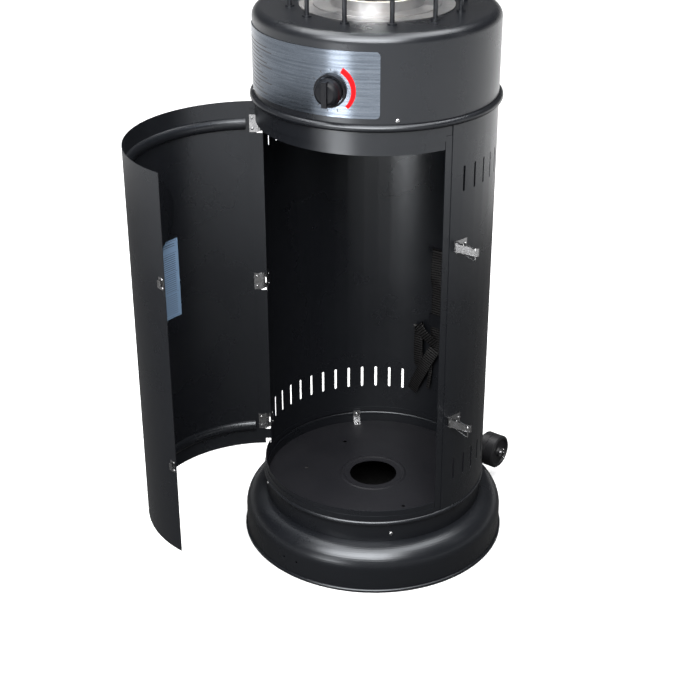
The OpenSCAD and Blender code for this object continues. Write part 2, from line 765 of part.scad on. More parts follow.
// Rings that hold the glass tube at its bottom and its top
base_ring_z = deck_z + 2 * seat + sheet;
glass_low = base_ring_z + 2 + seat + 2 + 0.2;
glass_top = glass_low + glass_h;
top_ring_z = glass_top + 0.2 + 2 + seat;
upstand_r = glass_r + 4.2;
module tube_ring_profile(z, up)
    translate([0, 0, z]) rotate_extrude() polygon([[glass_r - glass_t - 5, 0], [110, 0], [110, 2],
        [upstand_r + 2, 2], [upstand_r + 2, 18], [upstand_r, 18], [upstand_r, 2],
        [glass_r - glass_t - 5, 2]]);

module tube_base_ring() color("#9a9c9e") tube_ring_profile(base_ring_z);
module tube_top_ring() color("#9a9c9e") translate([0, 0, top_ring_z + 2]) mirror([0, 0, 1])
    tube_ring_profile(0);

// Heat-proof seals round both ends of the glass
module tube_seals() {
    inner = glass_r - glass_t;
    outer = upstand_r - 0.1;
    color("#d8d4c8") {
        translate([0, 0, glass_low - 0.2 - 2]) rotate_extrude() polygon([[inner, 0], [outer, 0],
            [outer, 16], [glass_r + 0.1, 16], [glass_r + 0.1, 2], [inner, 2]]);
        translate([0, 0, glass_top + 2.2]) mirror([0, 0, 1]) rotate_extrude() polygon([[inner, 0],
            [outer, 0], [outer, 16], [glass_r + 0.1, 16], [glass_r + 0.1, 2], [inner, 2]]);
    }
}

module glass_tube() color([0.8, 0.9, 0.95, 0.4]) ring(glass_r, glass_r - glass_t, glass_low, glass_top);

// Upright rods of the guard, four of them with studs that carry the cap
plate_z = top_ring_z + 2 + seat;
plate_t = 2;
spacer_h = 58;
cap_z = plate_z + plate_t + spacer_h + 0.4;
module guard_rods()
    color("#2e3134") for (i = [0 : guard_n - 1])
        rotate([0, 0, 45 + 360 * i / guard_n]) translate([0, -guard_r, deck_z + 0.2]) {
            cylinder(r = rod_r, h = plate_z - deck_z - 0.4);
            cylinder(r = rod_r + 4, h = 3);
            if (i % (guard_n / 4) == 0)
                cylinder(r = 3, h = cap_z + sheet + 8 - deck_z);
        }

// Bars that go round the guard outside the rods
guard_zs = [deck_z + 44, (deck_z + plate_z) / 2, plate_z - 44];
module guard_rings()
    color("#2e3134") for (z = guard_zs)
        rotate_extrude() translate([guard_r + rod_r + guard_bar_r + 0.1, z])
            circle(r = guard_bar_r, $fn = 32);

// Plate over the flame tube with the opening for the flame
module top_plate()
    color("#34373a") difference() {
        ring(guard_r + 18, glass_r - glass_t - 5, plate_z, plate_z + plate_t);
        for (a = [45 : 90 : 315])
            rotate([0, 0, a]) translate([0, -guard_r, plate_z - 2]) cylinder(r = 3.2, h = 10);
    }

module cap_spacers()
    color("silver") for (a = [45 : 90 : 315])
        rotate([0, 0, a]) translate([0, -guard_r, plate_z + plate_t + 0.1]) difference() {
            cylinder(r = 6, h = spacer_h);
            translate([0, 0, -1]) cylinder(r = 3.1, h = spacer_h + 2);
        }

// Spun cap that throws the heat back down
module reflector_cap() {
    low = cap_z - 20;
    path = concat([[cap_r, low], [cap_r, low + 8]],
        [for (i = [1 : 4]) [cap_r - (cap_r - guard_r - 22) * i / 4, low + 8 + 12 * sin(22.5 * i)
            + sheet]],
        [[guard_r - 22, cap_z + sheet]],
        [for (i = [1 : 8]) [(guard_r - 22) * cos(90 * i / 8), cap_z + sheet + 30 * sin(90 * i / 8)]]);
    color("#3a3d41") difference() {
        spin([for (q = bent(path, sheet)) [max(q[0], 0), q[1]]]);
        for (a = [45 : 90 : 315])
            rotate([0, 0, a]) translate([0, -guard_r, cap_z - 4]) cylinder(r = 3.3, h = 10);
    }
}

module cap_nuts()
    color("silver") for (a = [45 : 90 : 315])
        rotate([0, 0, a]) translate([0, -guard_r, cap_z + sheet + 0.1]) difference() {
            union() {
                cylinder(r = 6.4, h = 5, $fn = 6);
                translate([0, 0, 5 - weld]) rotate_extrude() polygon(concat([[0, 0]],
                    arc([0, 0], 5.4, 0, 90, 8)));
            }
            translate([0, 0, -1]) cylinder(r = 3.1, h = 9.4);
        }

// Bracket at the back of the base that carries the axle
arm_x = wheel_face - wheel_w - 8;
arm_t = 3;
module wheel_bracket()
    color("#2e3134") difference() {
        union() {
            translate([-arm_x, skirt_r + 0.4, axle_z - 38]) cube([2 * arm_x, arm_t, 56]);
            for (s = [-1, 1])
                translate([s * (arm_x - arm_t / 2) - arm_t / 2, skirt_r - 20, axle_z - 38]) {
                    cube([arm_t, axle_y - skirt_r + 20, 56]);
                    translate([0, axle_y - skirt_r + 20, 38]) rotate([0, 90, 0])
                        cylinder(r = 14, h = arm_t);
                }
        }
        cylinder(r = skirt_r + 0.3, h = 400);
        translate([-200, axle_y, axle_z]) rotate([0, 90, 0]) cylinder(r = axle_r + run, h = 400);
        for (x = [-30, 30])
            translate([x, skirt_r - 30, axle_z - 24]) rotate([-90, 0, 0]) cylinder(r = 3.3, h = 60);
    }

// Bolts that hold the wheel bracket to the base
module bracket_bolts()
    color("silver") for (x = [-30, 30])
        translate([x, skirt_r + 0.5 + arm_t, axle_z - 24]) rotate([-90, 0, 0]) {
            cylinder(r = 5.5, h = 4, $fn = 6);
            translate([0, 0, -12]) cylinder(r = 3, h = 12 + weld);
        }

module wheel_axle()
    color("silver") difference() {
        translate([-wheel_face - 11, axle_y, axle_z]) rotate([0, 90, 0])
            cylinder(r = axle_r, h = 2 * wheel_face + 22);
        for (s = [-1, 1])
            translate([s * (wheel_face + 7), axle_y, axle_z - 10]) cylinder(r = 1.2, h = 20);
    }

module axle_washers()
    color("silver") for (s = [-1, 1], d = [-wheel_w - 2, 1])
        translate([s * (wheel_face + d), axle_y, axle_z]) rotate([0, s * 90, 0]) difference() {
            cylinder(r = 9, h = 1.4);
            translate([0, 0, -1]) cylinder(r = axle_r + run, h = 4);
        }

// Split pins through the axle ends
module split_pins()
    color("silver") for (s = [-1, 1])
        translate([s * (wheel_face + 7), axle_y, axle_z]) {
            translate([0, 0, -9]) cylinder(r = 1.1, h = 15.5, $fn = 24);
            translate([0, 0, 8.2]) rotate([90, 0, 0]) rotate_extrude() translate([2, 0])
                circle(r = 0.9, $fn = 24);
            translate([0, 0, -8.4]) rotate([0, s * 128, 0]) cylinder(r = 0.8, h = 9, $fn = 24);
            translate([0, 0, -8.4]) rotate([0, s * 168, 0]) cylinder(r = 0.8, h = 8, $fn = 24);
        }

// A wheel with a tread groove on each side and a recessed hub
module wheel(s)
    color("#1b1b1d") translate([s * (wheel_face - wheel_w), axle_y, axle_z]) rotate([0, s * 90, 0])
        rotate_extrude() polygon([[axle_r + run, 0], [9, 0], [9, 3], [wheel_r - 8, 3],
            [wheel_r - 6, 0], [wheel_r - 3, 0], [wheel_r, 3], [wheel_r, wheel_w / 2 - 2],
            [wheel_r - 1, wheel_w / 2 - 1], [wheel_r - 1, wheel_w / 2 + 1],
            [wheel_r, wheel_w / 2 + 2], [wheel_r, wheel_w - 3], [wheel_r - 3, wheel_w],
            [wheel_r - 6, wheel_w], [wheel_r - 8, wheel_w - 4], [11, wheel_w - 4],
            [9, wheel_w], [axle_r + run, wheel_w]]);

module left_wheel() wheel(-1);
module right_wheel() wheel(1);

// Door skin with the hem on its hinge side, the flange that laps behind the wall and the dish's hole
hem_arc = 2.7;
flange_arc = 1.9;
module door_panel()
    color("#2e3134") door_swing() difference() {
        union() {
            arc_plate(door_out, sheet, door_first, door_last, door_low, door_top);
            arc_plate(door_in + weld, sheet, door_first, door_first + hem_arc,
                door_low + 12, door_top - 14);
            arc_plate(door_in + 2 * weld - sheet, sheet, -open_half - flange_arc,
                door_first + hem_arc + 0.2, door_low + 12.5, door_top - 14.5);
        }
        outward(0, dish_z) cylinder(r = dish_r, h = 300);
        for (z = hinge_zs)
            outward(door_first + hem_arc / 2, z, door_in - 12)
                translate([-18, -hinge_h / 2 - 1.5, 0]) cube([27, hinge_h + 3, 12 + weld / 2]);
    }

// Half-round stiffeners welded inside the door
module door_stiffeners() {
    r = rib_h / 2;
    function rib(z) = bent([for (i = [0 : 12]) let(a = -90 + 180 * i / 12)
        [door_in - seat - rib_depth * cos(a), z + r * sin(a)]], -1);
    color("#2e3134") door_swing() for (z = [door_low + rib_in, door_top - rib_in])
        spin(rib(z), -open_half + 6.5, open_half - 6.5);
}

// Round dish that closes the hole in the door
module door_dish()
    color("#303336") door_swing() difference() {
        union() {
            intersection() {
                outward(0, dish_z) cylinder(r = dish_r + 5, h = 300);
                ring(door_in - 0.1, door_in - 0.1 - sheet, dish_z - dish_r - 10, dish_z + dish_r + 10);
            }
            intersection() {
                outward(0, dish_z, dish_floor) cylinder(r = dish_r - 1, h = 2 * dish_in);
                translate([0, 0, dish_z - dish_r - 10]) cylinder(r = door_in - 0.1, h = 2 * dish_r + 20);
            }
        }
        outward(0, dish_z, dish_floor + sheet) cylinder(r = dish_r - 1 - sheet, h = 60);
    }

// Plain notice plate on the inner face of the door
module door_plate()
    color("#8fa3bd") door_swing()
        arc_plate(door_in - 0.1, 0.5, -plate_left, plate_right, plate_low, plate_low + plate_h);

// Hooks on the outer face of the door that the bails catch
keeper_a = door_last - 1.9;
module latch_keepers()
    color("silver") door_swing() for (z = latch_zs)
        rotate([0, 0, keeper_a]) translate([0, -door_out - 0.1, z]) mirror([0, 1, 0]) {
            translate([-5.5, 0, -11]) cube([11, 1.2, 22]);
            translate([-4.5, 1.2 - weld, -7]) cube([2.1, 4, 14]);
            translate([-4.5, 4, -7]) cube([6, 1.2, 14]);
            for (s = [-1, 1])
                translate([2.5, 1.2 - weld, s * 7.8]) rotate([-90, 0, 0]) round_head(2.2, 1.1);
        }

// Hinge leaves on the door
module door_hinge_leaves()
    color("silver") door_swing() for (z = hinge_zs)
        hinge_leaf(z, [1], door_in - 0.1, 1);

// Rivets of the door's hinge leaves
module door_rivets()
    color("silver") door_swing() for (z = hinge_zs, s = [-1, 1])
        outward(door_first + 2.1, z + s * 10, door_in - 1.4) mirror([0, 0, 1]) round_head(2.4, 1.3);

base_dome();
floor_plate();
base_collar();
cabinet_shell();
front_header();
front_sill();
top_ring();
casing_screws();
floor_clip();
body_hinge_leaves();
hinge_pins();
shell_rivets();
latch_bases();
strap_bracket();
strap_buckle();
retaining_strap();
control_housing();
control_panel();
knob_bezel();
valve_bracket();
gas_valve();
gas_inlet();
tilt_switch();
burner_pipe();
burner_tray();
burner_head();
pilot_bracket();
spark_electrode();
thermocouple();
tube_base_ring();
tube_seals();
glass_tube();
tube_top_ring();
guard_rods();
guard_rings();
top_plate();
cap_spacers();
reflector_cap();
cap_nuts();
wheel_bracket();
bracket_bolts();
wheel_axle();
axle_washers();
split_pins();
left_wheel();
right_wheel();
valve_plug();
valve_spindle();
control_knob();
door_panel();
door_stiffeners();
door_dish();
door_plate();
latch_keepers();
door_hinge_leaves();
door_rivets();
upper_latch_lever();
lower_latch_lever();
upper_latch_bail();
lower_latch_bail();
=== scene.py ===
import math

import bmesh
import bpy
import numpy as np
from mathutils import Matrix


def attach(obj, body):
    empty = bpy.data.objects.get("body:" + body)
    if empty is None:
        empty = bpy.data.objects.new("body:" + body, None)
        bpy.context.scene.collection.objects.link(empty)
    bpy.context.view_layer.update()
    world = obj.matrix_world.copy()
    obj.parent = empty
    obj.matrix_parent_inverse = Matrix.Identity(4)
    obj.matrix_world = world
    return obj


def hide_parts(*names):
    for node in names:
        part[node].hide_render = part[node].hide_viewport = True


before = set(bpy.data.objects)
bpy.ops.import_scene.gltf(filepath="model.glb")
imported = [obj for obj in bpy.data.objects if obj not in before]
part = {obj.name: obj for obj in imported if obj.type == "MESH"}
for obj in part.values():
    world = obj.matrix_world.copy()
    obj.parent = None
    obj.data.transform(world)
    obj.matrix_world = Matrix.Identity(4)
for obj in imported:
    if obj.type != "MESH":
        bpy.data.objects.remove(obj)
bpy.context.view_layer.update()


# Helpers for shader nodes.
# Each adds nodes to a tree and gives back the output that the next one takes.
# A value in them is a number, a colour or another node's output.
noise_low = 0.3
noise_high = 0.7


def grey(level):
    """An opaque colour with one level in all its channels."""
    return (level, level, level, 1.0)


def feed(tree, socket, value):
    """Gives a socket its value: a link from another node's output, or a number or colour of its own."""
    if isinstance(value, bpy.types.NodeSocket):
        tree.links.new(value, socket)
    else:
        socket.default_value = value


def blank(name):
    """A new material and its emptied node tree."""
    made = bpy.data.materials.new(name)
    made.use_nodes = True
    made.node_tree.nodes.clear()
    return made, made.node_tree


def show(tree, shader):
    """Makes a shader the surface of its material."""
    tree.links.new(shader.outputs[0], tree.nodes.new("ShaderNodeOutputMaterial").inputs["Surface"])


def object_place(tree):
    """The coordinates of a point in its object's own frame, in metres."""
    return tree.nodes.new("ShaderNodeTexCoord").outputs["Object"]


def math_node(tree, operation, *values):
    """One sum on one to three values."""
    made = tree.nodes.new("ShaderNodeMath")
    made.operation = operation
    for socket, value in zip(made.inputs, values):
        feed(tree, socket, value)
    return made.outputs[0]


def map_range(tree, value, start, end, low, high):
    """Stretches a value's range from start to end onto the one from low to high."""
    made = tree.nodes.new("ShaderNodeMapRange")
    for label, limit in (("Value", value), ("From Min", start), ("From Max", end), ("To Min", low), ("To Max", high)):
        feed(tree, made.inputs[label], limit)
    return made.outputs[0]


def spread(tree, value, low, high):
    """Stretches the levels that most of a noise has onto a range."""
    return map_range(tree, value, noise_low, noise_high, low, high)


def noise(tree, place, scale, detail):
    """A noise texture on some coordinates; scale is in cells per metre."""
    made = tree.nodes.new("ShaderNodeTexNoise")
    for label, value in (("Vector", place), ("Scale", scale), ("Detail", detail)):
        feed(tree, made.inputs[label], value)
    return made.outputs["Fac"]


def ramp(tree, value, *stops):
    """A ramp of greys; its stops are (position, level), from the first to the last."""
    made = tree.nodes.new("ShaderNodeValToRGB")
    steps = made.color_ramp.elements
    steps[0].position, steps[1].position = stops[0][0], stops[-1][0]
    for position, _ in stops[1:-1]:
        steps.new(position)
    for step, (_, level) in zip(steps, stops):
        step.color = grey(level)
    tree.links.new(value, made.inputs["Fac"])
    return made.outputs["Color"]


def blend_colour(tree, share, first, second, way="MIX"):
    """Mixes two colours by a share from 0 to 1."""
    made = tree.nodes.new("ShaderNodeMix")
    made.data_type = "RGBA"
    made.blend_type = way
    tree.links.new(share, made.inputs[0])
    for socket, value in zip([s for s in made.inputs if s.type == "RGBA"], (first, second)):
        feed(tree, socket, value)
    return [s for s in made.outputs if s.type == "RGBA"][0]


def bump(tree, height, depth, strength=1.0):
    """A bump normal from a height between 0 and 1, depth metres deep."""
    made = tree.nodes.new("ShaderNodeBump")
    for label, value in (("Strength", strength), ("Distance", depth), ("Height", height)):
        feed(tree, made.inputs[label], value)
    return made.outputs["Normal"]


def looked_at(tree):
    """The light path, and 1 on rays that show a thing: the camera's, those through glass and those off a gloss."""
    path = tree.nodes.new("ShaderNodeLightPath")
    straight = math_node(tree, "MAXIMUM", path.outputs["Is Camera Ray"], path.outputs["Is Transmission Ray"])
    return path, math_node(tree, "MAXIMUM", straight, path.outputs["Is Glossy Ray"])


def pick_shader(tree, share, first, second):
    """Changes from one shader to another as the share goes from 0 to 1."""
    made = tree.nodes.new("ShaderNodeMixShader")
    for socket, value in zip(made.inputs, (share, first.outputs[0], second.outputs[0])):
        tree.links.new(value, socket)
    return made


# Camera.
# It looks down at the open front from the latch side, from about three metres away.
# Its height, distance and turn come from the ellipses of the photographed beads and rims.
camera_turn = math.radians(35.6)
camera_pan = math.radians(1.084)
camera_tilt = math.radians(90 - 26.848)
camera_away = 2.4552
camera_up = 1.6244
camera_data = bpy.data.cameras.new("camera")
camera_data.lens = 73.77
camera_data.sensor_width = 36.0
camera = bpy.data.objects.new("camera", camera_data)
camera.location = (camera_away * math.sin(camera_turn), -camera_away * math.cos(camera_turn), camera_up)
camera.rotation_euler = (camera_tilt, 0.0, camera_turn + camera_pan)
bpy.context.scene.collection.objects.link(camera)
bpy.context.scene.camera = camera


# Ground, backdrop and lamps.
# A pale studio floor that runs out to white, a broad lamp over the front, one overhead and three weak fills.
# The background's white is for the camera and for gloss only, so that it adds no light to the object.
def lamp(name, size, power, place, aim):
    """A rectangular lamp at a place, turned so that it looks at a point."""
    data = bpy.data.lights.new(name, "AREA")
    data.shape = "RECTANGLE"
    data.size, data.size_y = size
    data.energy = power
    turned = bpy.data.objects.new(name, data)
    turned.visible_camera = False
    away = np.array(place, float) - np.array(aim, float)
    flat = math.hypot(away[0], away[1])
    turned.location = place
    turned.rotation_euler = (math.atan2(flat, away[2]), 0.0, math.atan2(away[0], -away[1]))
    bpy.context.scene.collection.objects.link(turned)


lamp("high_softbox", size=(2.6, 1.5), power=215.0, place=(0.75, -1.85, 2.3), aim=(0.0, 0.0, 0.2))
lamp("top_softbox", size=(3.3, 3.2), power=270.0, place=(0.0, 0.0, 3.1), aim=(0.0, 0.0, 0.5))
lamp("low_softbox", size=(0.6, 0.45), power=10.0, place=(0.1, -1.9, 0.25), aim=(0.0, 0.0, 0.85))
lamp("left_softbox", size=(0.8, 1.6), power=2.0, place=(-2.6, -1.2, 1.8), aim=(0.0, 0.0, 0.5))
lamp("right_strip", size=(0.3, 1.4), power=2.0, place=(2.3, 1.1, 1.9), aim=(0.0, 0.0, 0.9))

world = bpy.data.worlds.new("studio")
world.use_nodes = True
bpy.context.scene.world = world
air = world.node_tree
air.nodes.clear()
air_path, air_seen = looked_at(air)
air_way = air.nodes.new("ShaderNodeSeparateXYZ")
air.links.new(air.nodes.new("ShaderNodeTexCoord").outputs["Generated"], air_way.inputs[0])
# In gloss the air is white only near the horizon and below it, and almost black above.
air_band = map_range(air, air_way.outputs["Z"], start=-0.05, end=0.15, low=1.0, high=0.06)
air_fill = air.nodes.new("ShaderNodeBackground")
air_fill.inputs["Color"].default_value = (0.9, 0.95, 1.0, 1.0)
air_fill.inputs["Strength"].default_value = 0.12
air_white = air.nodes.new("ShaderNodeBackground")
air_white.inputs["Color"].default_value = grey(1.0)
air.links.new(math_node(air, "MAXIMUM", air_band, air_path.outputs["Is Camera Ray"]), air_white.inputs["Strength"])
air_out = air.nodes.new("ShaderNodeOutputWorld")
air.links.new(pick_shader(air, air_seen, air_fill, air_white).outputs[0], air_out.inputs["Surface"])

ground_half = 9.0
ground_drop = 0.0005
floor_reach = 2.0
base_shade_edge = 0.118
gloss_reach = 1.35
gloss_lean = 0.15
ground_paint, lay = blank("ground_paint")
lay_path, lay_seen = looked_at(lay)
lay_place = object_place(lay)
lay_length = lay.nodes.new("ShaderNodeVectorMath")
lay_length.operation = "LENGTH"
lay.links.new(lay_place, lay_length.inputs[0])
lay_reach = math_node(lay, "DIVIDE", lay_length.outputs["Value"], floor_reach)
# Under the base the floor's colour and glow are painted shade: almost black out to the base's foot, then rising to
# pale just outside it.
lay_pale_and_base_shade = ramp(lay, lay_reach, (base_shade_edge, 0.01), (0.128, 0.55))
lay_rise_and_base_shade = ramp(lay, lay_reach, (base_shade_edge, 0.0), (0.14, 0.55), (1.0, 1.0))
# In gloss the floor carries painted shade: dark round the object, and farther out at the left than at the right.
lay_split = lay.nodes.new("ShaderNodeSeparateXYZ")
lay.links.new(lay_place, lay_split.inputs[0])
lay_left = math_node(lay, "MINIMUM", lay_split.outputs["X"], 0.0)
lay_lean = math_node(lay, "MULTIPLY_ADD", lay_left, gloss_lean, lay_reach)
lay_shade = ramp(lay, math_node(lay, "DIVIDE", lay_lean, gloss_reach), (0.6, 0.06), (1.0, 1.0))
lay_gloss = lay_path.outputs["Is Glossy Ray"]
lay_matt = lay.nodes.new("ShaderNodeBsdfDiffuse")
lay.links.new(blend_colour(lay, lay_gloss, lay_pale_and_base_shade, lay_shade, "MULTIPLY"), lay_matt.inputs["Color"])
lay_glow = lay.nodes.new("ShaderNodeEmission")
lay_glow.inputs["Color"].default_value = grey(1.0)
lay.links.new(blend_colour(lay, lay_gloss, lay_rise_and_base_shade, lay_shade, "MULTIPLY"), lay_glow.inputs["Strength"])
lay_add = lay.nodes.new("ShaderNodeAddShader")
lay.links.new(lay_matt.outputs[0], lay_add.inputs[0])
lay.links.new(lay_glow.outputs[0], lay_add.inputs[1])
lay_dull = lay.nodes.new("ShaderNodeBsdfDiffuse")
lay_dull.inputs["Color"].default_value = grey(0.08)
show(lay, pick_shader(lay, lay_seen, lay_dull, lay_add))
ground_mesh = bpy.data.meshes.new("ground")
ground_mesh.from_pydata(
    [(-ground_half, -ground_half, 0.0), (ground_half, -ground_half, 0.0),
     (ground_half, ground_half, 0.0), (-ground_half, ground_half, 0.0)],
    [], [(0, 1, 2, 3)],
)
ground_mesh.materials.append(ground_paint)
ground = bpy.data.objects.new("ground", ground_mesh)
ground.location.z = -ground_drop
bpy.context.scene.collection.objects.link(ground)


# Skins: the effects that several materials share.
# Powder coat and moulded plastic have flecks, a grain in relief and a gloss that changes over a hand's width.
# Plated metal has clouds and a drawn grain, and brushed steel has long streaks round the cabinet.
def skin_group(name, *values):
    """A node group with named inputs, (label, type, value), and a colour, a roughness and a normal as outputs."""
    tree = bpy.data.node_groups.new(name, "ShaderNodeTree")
    for label, kind, value in values:
        socket = tree.interface.new_socket(label, in_out="INPUT", socket_type="NodeSocket" + kind)
        socket.default_value = value
    for label, kind in (("Colour", "Color"), ("Roughness", "Float"), ("Normal", "Vector")):
        tree.interface.new_socket(label, in_out="OUTPUT", socket_type="NodeSocket" + kind)
    given = tree.nodes.new("NodeGroupInput").outputs
    wanted = tree.nodes.new("NodeGroupOutput").inputs
    return tree, given, wanted


def finish(name, group, values, plain):
    """A material: the group's named values, its outputs on the shader's sockets, and the shader's own values."""
    made, tree = blank(name)
    shader = tree.nodes.new("ShaderNodeBsdfPrincipled")
    show(tree, shader)
    skin = tree.nodes.new("ShaderNodeGroup")
    skin.node_tree = group
    for label, value in values.items():
        skin.inputs[label].default_value = value
    for label, socket in (("Colour", "Base Color"), ("Roughness", "Roughness"), ("Normal", "Normal")):
        tree.links.new(skin.outputs[label], shader.inputs[socket])
    for label, value in plain.items():
        shader.inputs[label.replace("_", " ")].default_value = value
    return made


def coated(name, first, second, grain, rough, **plain):
    """A material with the coat's skin: two colours, grains per metre and the lowest and highest roughness."""
    return finish(name, coat_skin, {"Colour": (*first, 1.0), "Second Colour": (*second, 1.0), "Grain": grain,
                                    "Rough Low": rough[0], "Rough High": rough[1]}, plain)


def plated(name, first, second, cloud, rough):
    """A metal with the plate's skin: two colours, clouds per metre and the lowest and highest roughness."""
    return finish(name, plate_skin, {"Colour": (*first, 1.0), "Second Colour": (*second, 1.0), "Cloud": cloud,
                                     "Rough Low": rough[0], "Rough High": rough[1]}, {"Metallic": 1.0})


def dress(material, *names):
    """Puts a material on all the slots of some carried-over pieces."""
    for name in names:
        mesh = part[name].data
        if not mesh.materials:
            mesh.materials.append(material)
        for k in range(len(mesh.materials)):
            mesh.materials[k] = material


coat_skin, coat_in, coat_out = skin_group(
    "coat_skin", ("Colour", "Color", (0.02, 0.02, 0.022, 1.0)), ("Second Colour", "Color", (0.03, 0.03, 0.033, 1.0)),
    ("Grain", "Float", 900.0), ("Rough Low", "Float", 0.4), ("Rough High", "Float", 0.5))
coat_place = object_place(coat_skin)
coat_peel = noise(coat_skin, coat_place, scale=coat_in["Grain"], detail=3.0)
coat_fleck = noise(coat_skin, coat_place, scale=2600.0, detail=1.0)
coat_broad = noise(coat_skin, coat_place, scale=9.0, detail=4.0)
for value, socket in (
    (blend_colour(coat_skin, spread(coat_skin, coat_fleck, 0.0, 1.0), coat_in["Colour"], coat_in["Second Colour"]),
     "Colour"),
    (spread(coat_skin, coat_broad, coat_in["Rough Low"], coat_in["Rough High"]), "Roughness"),
    (bump(coat_skin, coat_peel, depth=0.00012), "Normal"),
):
    coat_skin.links.new(value, coat_out[socket])

plate_skin, plate_in, plate_out = skin_group(
    "plate_skin", ("Colour", "Color", (0.6, 0.6, 0.6, 1.0)), ("Second Colour", "Color", (0.5, 0.5, 0.5, 1.0)),
    ("Cloud", "Float", 120.0), ("Rough Low", "Float", 0.2), ("Rough High", "Float", 0.4))
plate_place = object_place(plate_skin)
plate_cloud = noise(plate_skin, plate_place, scale=plate_in["Cloud"], detail=4.0)
plate_grain = noise(plate_skin, plate_place, scale=1800.0, detail=2.0)
for value, socket in (
    (blend_colour(plate_skin, spread(plate_skin, plate_cloud, 0.0, 1.0),
                  plate_in["Colour"], plate_in["Second Colour"]), "Colour"),
    (spread(plate_skin, plate_cloud, plate_in["Rough Low"], plate_in["Rough High"]), "Roughness"),
    (bump(plate_skin, plate_grain, depth=0.00002), "Normal"),
):
    plate_skin.links.new(value, plate_out[socket])

brush_skin, brush_in, brush_out = skin_group(
    "brush_skin", ("Colour", "Color", (0.5, 0.52, 0.55, 1.0)), ("Second Colour", "Color", (0.7, 0.72, 0.75, 1.0)),
    ("Radius", "Float", 0.216))
brush_stretch = 0.02
brush_split = brush_skin.nodes.new("ShaderNodeSeparateXYZ")
brush_skin.links.new(object_place(brush_skin), brush_split.inputs[0])
brush_front = math_node(brush_skin, "MULTIPLY", brush_split.outputs["Y"], -1.0)
brush_turn = math_node(brush_skin, "ARCTAN2", brush_split.outputs["X"], brush_front)
brush_run = math_node(brush_skin, "MULTIPLY", brush_turn, brush_in["Radius"])
brush_line = brush_skin.nodes.new("ShaderNodeCombineXYZ")
brush_skin.links.new(math_node(brush_skin, "MULTIPLY", brush_run, brush_stretch), brush_line.inputs["X"])
brush_skin.links.new(brush_split.outputs["Z"], brush_line.inputs["Z"])
brush_fine = noise(brush_skin, brush_line.outputs[0], scale=1500.0, detail=3.0)
brush_wide = noise(brush_skin, brush_line.outputs[0], scale=300.0, detail=2.0)
for value, socket in (
    (blend_colour(brush_skin, spread(brush_skin, brush_wide, 0.0, 1.0),
                  brush_in["Colour"], brush_in["Second Colour"]), "Colour"),
    (spread(brush_skin, brush_fine, 0.20, 0.34), "Roughness"),
    (bump(brush_skin, brush_fine, depth=0.00003), "Normal"),
):
    brush_skin.links.new(value, brush_out[socket])


# Base ring.
# Spun steel with a rolled rim, powder coated black: a fine orange-peel skin with a soft, faintly blue gloss.
# The two small holes low in its front come with the pressing.
powder_coat = coated("powder_coat", (0.0028, 0.0031, 0.0040), (0.0062, 0.0068, 0.0084), grain=750.0,
                     rough=(0.25, 0.32), Specular_IOR_Level=0.5, Specular_Tint=(0.92, 0.955, 1.0, 1.0))
dress(powder_coat, "base_dome", "base_collar")


# Floor plate.
# Pressed sheet in a flatter black, with a raised ring round the middle hole and four bolt holes.
# It drops into the collar and a clip with a screw holds it at the back.
floor_coat = coated("floor_coat", (0.0045, 0.0045, 0.0058), (0.0085, 0.0085, 0.0105), grain=600.0,
                    rough=(0.42, 0.55), Specular_IOR_Level=0.3)
dress(floor_coat, "floor_plate")


# Cabinet wall, bands and beads.
# Rolled sheet with punched vents, lapped joints and two rolled beads, powder coated like the base.
# The jamb strip, sill and header lips are set back so that the door closes over them.
dress(powder_coat, "cabinet_shell", "front_header", "front_sill", "top_ring", "control_housing")


# Bright zinc-plated hardware.
# Screws, rivets, hinge leaves, latches and the axle: plated steel with a soft drawn grain.
# The plating is a little cloudy, so its gloss changes from place to place.
zinc = plated("zinc", (0.42, 0.42, 0.42), (0.33, 0.33, 0.34), cloud=90.0, rough=(0.20, 0.30))
dress(zinc, "casing_screws", "floor_clip", "body_hinge_leaves", "hinge_pins", "shell_rivets",
      "latch_bases", "cap_spacers", "cap_nuts", "bracket_bolts", "wheel_axle", "axle_washers",
      "split_pins", "valve_spindle", "latch_keepers", "door_hinge_leaves", "door_rivets",
      "upper_latch_lever", "lower_latch_lever", "upper_latch_bail", "lower_latch_bail")


# Control panel.
# A curved sheet of stainless steel, brushed round the cabinet, with rounded corners, fixed over the coat.
# The brushing is long streaks along the curve, which break up the lamps' reflections in lines.
brushed_steel = finish("brushed_steel", brush_skin,
                       {"Colour": (0.105, 0.123, 0.15, 1.0), "Second Colour": (0.175, 0.20, 0.235, 1.0)},
                       {"Metallic": 1.0, "Anisotropic": 0.7, "Anisotropic_Rotation": 0.25})
brush_ways = brushed_steel.node_tree.nodes.new("ShaderNodeTangent")
brush_ways.direction_type = "RADIAL"
brush_ways.axis = "Z"
brushed_steel.node_tree.links.new(
    brush_ways.outputs[0], brushed_steel.node_tree.nodes["Principled BSDF"].inputs["Tangent"])
dress(brushed_steel, "control_panel")


# Print on the control panel.
# Plain lines and ticks stand in for the print, and a red arc beside the knob shows the flame's size.
# Each is a closed strip of ink that follows the panel's curve.
knob_turn = math.radians(15.6)
knob_height = 0.953
panel_face = 0.2163
ink_face = panel_face + 0.00006
ink_back = panel_face - 0.00002
strip_steps = 24


def round_strip(first, last, low, high, outer, inner):
    """The four corner lines of a strip bent round the cabinet.

    A point at angle a from the front is (r sin a, -r cos a, z); the corners are at the two radii and heights.
    """
    turn = np.radians(np.linspace(first, last, strip_steps))[:, None]
    r = np.array([outer, outer, inner, inner])[None, :]
    z = np.array([low, high, high, low])[None, :]
    return np.stack([r * np.sin(turn), -r * np.cos(turn), z + 0.0 * turn], axis=2)


